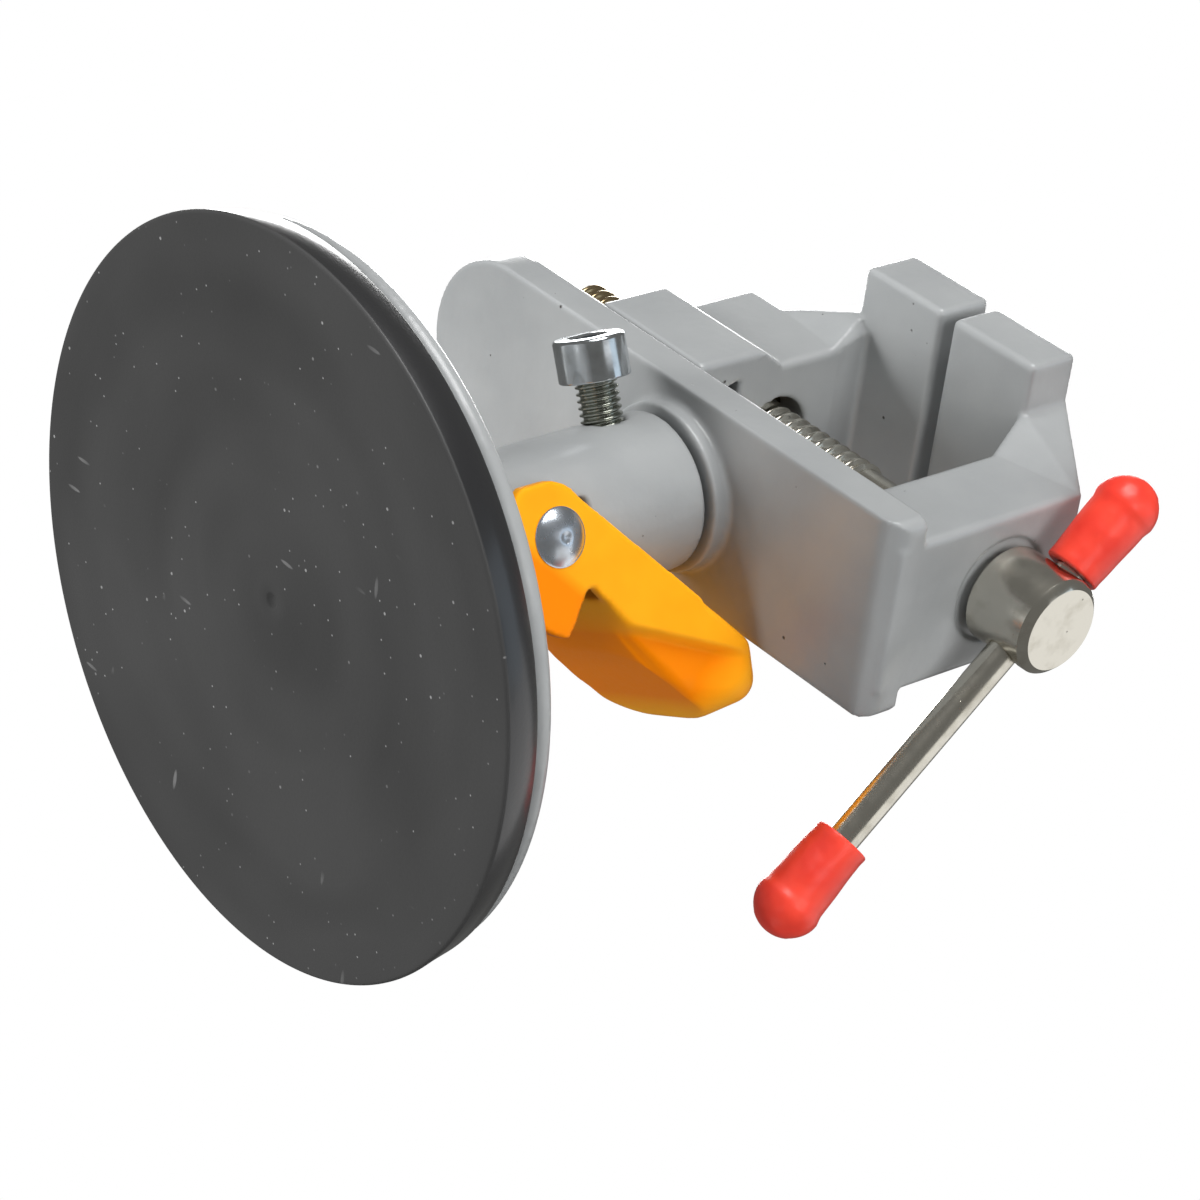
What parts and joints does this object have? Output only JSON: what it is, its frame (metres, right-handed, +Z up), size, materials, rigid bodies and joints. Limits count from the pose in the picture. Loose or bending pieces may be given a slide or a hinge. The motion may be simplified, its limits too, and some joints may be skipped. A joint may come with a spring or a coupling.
{
  "type": "suction base bench vise",
  "caption": "Small bench vise on a rubber suction base: cam lever, swivelling cast head, sliding jaw, lead screw and sliding T-bar.",
  "frame": {"origin": "centre of the suction pad's contact ring, on the plane it stands on", "axes": "+Z up the column, +X along the lead screw towards its hub; the base is turned 64 degrees about Z below the head"},
  "size_m": [0.0915, 0.085, 0.0975],
  "materials": {
    "pad_rubber": "satin moulded rubber, slightly scratched",
    "grey_paint": "silver grey enamel over die casting",
    "orange_plastic": "orange, semi-gloss",
    "red_vinyl": "soft red dipped vinyl",
    "bright_zinc": "bluish bright zinc plating",
    "yellow_zinc": "yellow zinc plating",
    "nickel": "warm nickel plating",
    "spring_steel": "plain spring steel"
  },
  "bodies": {
    "base": {"suction_pad": "pad_rubber", "base_casting": "grey_paint"},
    "clamp": {"clamp_screw": "bright_zinc"},
    "plunger": {"plunger_stud": "bright_zinc", "pivot_rivet": "bright_zinc"},
    "lever": {"cam_lever": "orange_plastic"},
    "head": {"vise_body": "grey_paint"},
    "jaw": {"moving_jaw": "grey_paint", "jaw_nut": "yellow_zinc"},
    "screw": {"lead_screw": "nickel", "screw_clip": "spring_steel"},
    "tbar": {"t_bar": "nickel", "tbar_cap_upper": "red_vinyl", "tbar_cap_lower": "red_vinyl"}
  },
  "joints": [
    {"name": "lever_swing", "type": "hinge", "parent": "plunger", "child": "lever", "pos_m": [0, 0, 0.032], "axis": [-0.8988, 0.4384, 0], "range_deg": [0, 70]},
    {"name": "plunger_lift", "type": "slide", "parent": "base", "child": "plunger", "axis": [0, 0, 1], "range_m": [0, 0.00354], "deforming": ["suction_pad"]},
    {"name": "clamp_turn", "type": "hinge", "parent": "base", "child": "clamp", "pos_m": [0, 0, 0.049], "axis": [-0.4384, -0.8988, 0], "range_deg": [-360, 360]},
    {"name": "head_swivel", "type": "hinge", "parent": "base", "child": "head", "pos_m": [0, 0, 0.055], "axis": [0, 0, 1], "continuous": true},
    {"name": "screw_turn", "type": "hinge", "parent": "head", "child": "screw", "pos_m": [0, 0, 0.0755], "axis": [1, 0, 0], "range_deg": [-330, 4938]},
    {"name": "jaw_slide", "type": "slide", "parent": "head", "child": "jaw", "axis": [-1, 0, 0], "range_m": [-0.0016, 0.024]},
    {"name": "tbar_slide", "type": "slide", "parent": "screw", "child": "tbar", "axis": [0, -0.673, 0.7396], "range_m": [0, 0.026]}
  ],
  "couplings": [
    {"joint": "lever_swing", "follows": "plunger_lift", "rad_per_m": 344.83},
    {"joint": "screw_turn", "follows": "jaw_slide", "rad_per_m": 3590.4}
  ]
}
